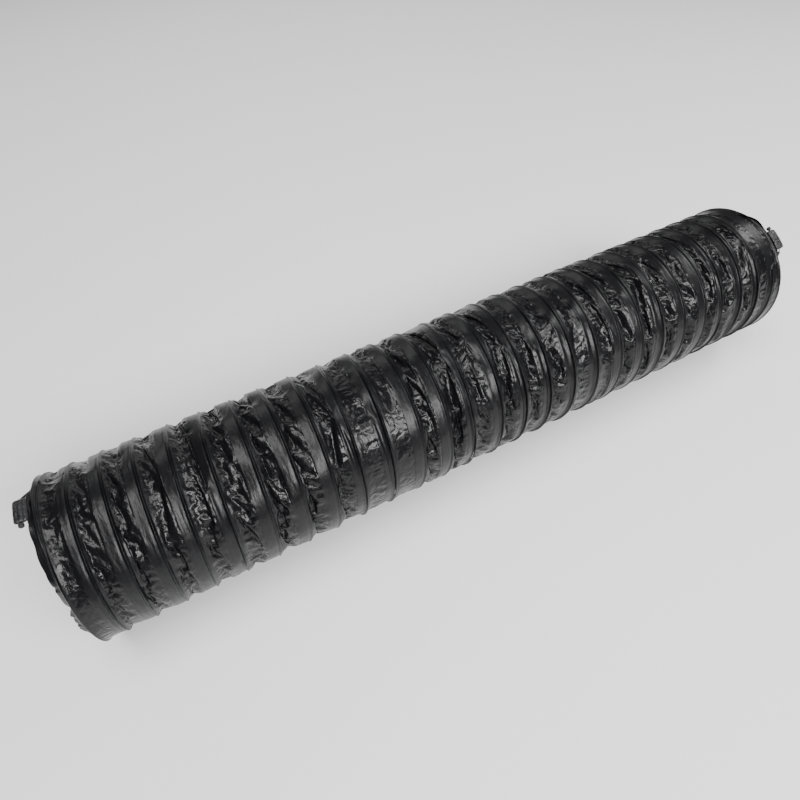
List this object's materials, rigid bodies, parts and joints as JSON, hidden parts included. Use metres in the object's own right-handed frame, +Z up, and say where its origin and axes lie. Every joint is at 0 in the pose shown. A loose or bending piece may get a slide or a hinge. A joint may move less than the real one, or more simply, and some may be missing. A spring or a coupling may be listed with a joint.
{
  "type": "flexible air duct",
  "caption": "Black flexible air duct: a spring-steel wire helix in a spirally wound film tube that stretches, collapses and bends, with taped wire tails at its open ends.",
  "frame": {"origin": "on the floor under the middle of the duct", "axes": "+X along the duct, from the end with the lower tail to the other; +Z up"},
  "size_m": [1.0434, 0.2, 0.202],
  "materials": {
    "pvc_film": "glossy black plasticised PVC film, crumpled",
    "spring_wire": "drawn spring-steel wire",
    "adhesive_tape": "satin black adhesive tape",
    "tip_cap": "matt black rubber cap"
  },
  "bodies": {
    "turn_01": {"wire_turn_01": "spring_wire", "film_start": "pvc_film", "tail_tape_start": "adhesive_tape", "tail_cap_start": "tip_cap"},
    "turn_02": {"wire_turn_02": "spring_wire", "film_band_02": "pvc_film"},
    "turn_03": {"wire_turn_03": "spring_wire", "film_band_03": "pvc_film"},
    "turn_04": {"wire_turn_04": "spring_wire", "film_band_04": "pvc_film"},
    "turn_05": {"wire_turn_05": "spring_wire", "film_band_05": "pvc_film"},
    "turn_06": {"wire_turn_06": "spring_wire", "film_band_06": "pvc_film"},
    "turn_07": {"wire_turn_07": "spring_wire", "film_band_07": "pvc_film"},
    "turn_08": {"wire_turn_08": "spring_wire", "film_band_08": "pvc_film"},
    "turn_09": {"wire_turn_09": "spring_wire", "film_band_09": "pvc_film"},
    "turn_10": {"wire_turn_10": "spring_wire", "film_band_10": "pvc_film"},
    "turn_11": {"wire_turn_11": "spring_wire", "film_band_11": "pvc_film"},
    "turn_12": {"wire_turn_12": "spring_wire", "film_band_12": "pvc_film"},
    "turn_13": {"wire_turn_13": "spring_wire", "film_band_13": "pvc_film"},
    "turn_14": {"wire_turn_14": "spring_wire", "film_band_14": "pvc_film"},
    "turn_15": {"wire_turn_15": "spring_wire", "film_band_15": "pvc_film"},
    "turn_16": {"wire_turn_16": "spring_wire", "film_band_16": "pvc_film"},
    "turn_17": {"wire_turn_17": "spring_wire", "film_band_17": "pvc_film"},
    "turn_18": {"wire_turn_18": "spring_wire", "film_band_18": "pvc_film"},
    "turn_19": {"wire_turn_19": "spring_wire", "film_band_19": "pvc_film"},
    "turn_20": {"wire_turn_20": "spring_wire", "film_band_20": "pvc_film"},
    "turn_21": {"wire_turn_21": "spring_wire", "film_band_21": "pvc_film"},
    "turn_22": {"wire_turn_22": "spring_wire", "film_band_22": "pvc_film"},
    "turn_23": {"wire_turn_23": "spring_wire", "film_band_23": "pvc_film"},
    "turn_24": {"wire_turn_24": "spring_wire", "film_band_24": "pvc_film"},
    "turn_25": {"wire_turn_25": "spring_wire", "film_band_25": "pvc_film"},
    "turn_26": {"wire_turn_26": "spring_wire", "film_band_26": "pvc_film"},
    "turn_27": {"wire_turn_27": "spring_wire", "film_band_27": "pvc_film", "film_end": "pvc_film", "tail_tape_end": "adhesive_tape", "tail_cap_end": "tip_cap"}
  },
  "joints": [
    {"name": "stretch_01_02", "type": "slide", "parent": "turn_02", "child": "turn_01", "axis": [-1, 0, 0], "range_m": [-0.01454, 0.00467]},
    {"name": "stretch_02_03", "type": "slide", "parent": "turn_03", "child": "turn_02", "axis": [-1, 0, 0], "range_m": [-0.02102, 0.00674]},
    {"name": "bend_03_04", "type": "hinge", "parent": "turn_04", "child": "turn_03", "pos_m": [-0.40776, 0, 0.1], "axis": [0, 0, 1], "range_deg": [0, 11.25]},
    {"name": "stretch_04_05", "type": "slide", "parent": "turn_05", "child": "turn_04", "axis": [-1, 0, 0], "range_m": [-0.02475, 0.00794]},
    {"name": "stretch_05_06", "type": "slide", "parent": "turn_06", "child": "turn_05", "axis": [-1, 0, 0], "range_m": [-0.02511, 0.00806]},
    {"name": "bend_06_07", "type": "hinge", "parent": "turn_07", "child": "turn_06", "pos_m": [-0.2935, 0, 0.1], "axis": [0, 0, 1], "range_deg": [0, 11.25]},
    {"name": "stretch_07_08", "type": "slide", "parent": "turn_08", "child": "turn_07", "axis": [-1, 0, 0], "range_m": [-0.02346, 0.00753]},
    {"name": "stretch_08_09", "type": "slide", "parent": "turn_09", "child": "turn_08", "axis": [-1, 0, 0], "range_m": [-0.02502, 0.00803]},
    {"name": "bend_09_10", "type": "hinge", "parent": "turn_10", "child": "turn_09", "pos_m": [-0.18021, 0, 0.1], "axis": [0, 0, 1], "range_deg": [0, 11.25]},
    {"name": "stretch_10_11", "type": "slide", "parent": "turn_11", "child": "turn_10", "axis": [-1, 0, 0], "range_m": [-0.02358, 0.00757]},
    {"name": "stretch_11_12", "type": "slide", "parent": "turn_12", "child": "turn_11", "axis": [-1, 0, 0], "range_m": [-0.02358, 0.00757]},
    {"name": "bend_12_13", "type": "hinge", "parent": "turn_13", "child": "turn_12", "pos_m": [-0.06554, 0, 0.1], "axis": [0, 0, 1], "range_deg": [0, 11.25]},
    {"name": "stretch_13_14", "type": "slide", "parent": "turn_14", "child": "turn_13", "axis": [-1, 0, 0], "range_m": [-0.02493, 0.008]},
    {"name": "stretch_14_15", "type": "slide", "parent": "turn_14", "child": "turn_15", "axis": [1, 0, 0], "range_m": [-0.02407, 0.00772]},
    {"name": "bend_15_16", "type": "hinge", "parent": "turn_15", "child": "turn_16", "pos_m": [0.04949, 0, 0.1], "axis": [0, 0, -1], "range_deg": [0, 11.25]},
    {"name": "stretch_16_17", "type": "slide", "parent": "turn_16", "child": "turn_17", "axis": [1, 0, 0], "range_m": [-0.02488, 0.00798]},
    {"name": "stretch_17_18", "type": "slide", "parent": "turn_17", "child": "turn_18", "axis": [1, 0, 0], "range_m": [-0.02513, 0.00806]},
    {"name": "bend_18_19", "type": "hinge", "parent": "turn_18", "child": "turn_19", "pos_m": [0.16442, 0, 0.1], "axis": [0, 0, -1], "range_deg": [0, 11.25]},
    {"name": "stretch_19_20", "type": "slide", "parent": "turn_19", "child": "turn_20", "axis": [1, 0, 0], "range_m": [-0.02421, 0.00777]},
    {"name": "stretch_20_21", "type": "slide", "parent": "turn_20", "child": "turn_21", "axis": [1, 0, 0], "range_m": [-0.02421, 0.00777]},
    {"name": "bend_21_22", "type": "hinge", "parent": "turn_21", "child": "turn_22", "pos_m": [0.27808, 0, 0.1], "axis": [0, 0, -1], "range_deg": [0, 11.25]},
    {"name": "stretch_22_23", "type": "slide", "parent": "turn_22", "child": "turn_23", "axis": [1, 0, 0], "range_m": [-0.02542, 0.00816]},
    {"name": "stretch_23_24", "type": "slide", "parent": "turn_23", "child": "turn_24", "axis": [1, 0, 0], "range_m": [-0.02292, 0.00735]},
    {"name": "bend_24_25", "type": "hinge", "parent": "turn_24", "child": "turn_25", "pos_m": [0.39162, 0, 0.1], "axis": [0, 0, -1], "range_deg": [0, 11.25]},
    {"name": "stretch_25_26", "type": "slide", "parent": "turn_25", "child": "turn_26", "axis": [1, 0, 0], "range_m": [-0.02071, 0.00665]},
    {"name": "stretch_26_27", "type": "slide", "parent": "turn_26", "child": "turn_27", "axis": [1, 0, 0], "range_m": [-0.01493, 0.00479]}
  ],
  "couplings": [
    {"joint": "stretch_01_02", "follows": "stretch_13_14", "ratio": 0.5832},
    {"joint": "stretch_02_03", "follows": "stretch_13_14", "ratio": 0.8428},
    {"joint": "bend_03_04", "follows": "bend_12_13", "ratio": 1},
    {"joint": "stretch_04_05", "follows": "stretch_13_14", "ratio": 0.9926},
    {"joint": "stretch_05_06", "follows": "stretch_13_14", "ratio": 1.0072},
    {"joint": "bend_06_07", "follows": "bend_12_13", "ratio": 1},
    {"joint": "stretch_07_08", "follows": "stretch_13_14", "ratio": 0.9407},
    {"joint": "stretch_08_09", "follows": "stretch_13_14", "ratio": 1.0032},
    {"joint": "bend_09_10", "follows": "bend_12_13", "ratio": 1},
    {"joint": "stretch_10_11", "follows": "stretch_13_14", "ratio": 0.9456},
    {"joint": "stretch_11_12", "follows": "stretch_13_14", "ratio": 0.9456},
    {"joint": "stretch_14_15", "follows": "stretch_13_14", "ratio": 0.9654},
    {"joint": "bend_15_16", "follows": "bend_12_13", "ratio": 1},
    {"joint": "stretch_16_17", "follows": "stretch_13_14", "ratio": 0.9978},
    {"joint": "stretch_17_18", "follows": "stretch_13_14", "ratio": 1.0077},
    {"joint": "bend_18_19", "follows": "bend_12_13", "ratio": 1},
    {"joint": "stretch_19_20", "follows": "stretch_13_14", "ratio": 0.971},
    {"joint": "stretch_20_21", "follows": "stretch_13_14", "ratio": 0.971},
    {"joint": "bend_21_22", "follows": "bend_12_13", "ratio": 1},
    {"joint": "stretch_22_23", "follows": "stretch_13_14", "ratio": 1.0192},
    {"joint": "stretch_23_24", "follows": "stretch_13_14", "ratio": 0.9191},
    {"joint": "bend_24_25", "follows": "bend_12_13", "ratio": 1},
    {"joint": "stretch_25_26", "follows": "stretch_13_14", "ratio": 0.8306},
    {"joint": "stretch_26_27", "follows": "stretch_13_14", "ratio": 0.5986}
  ]
}
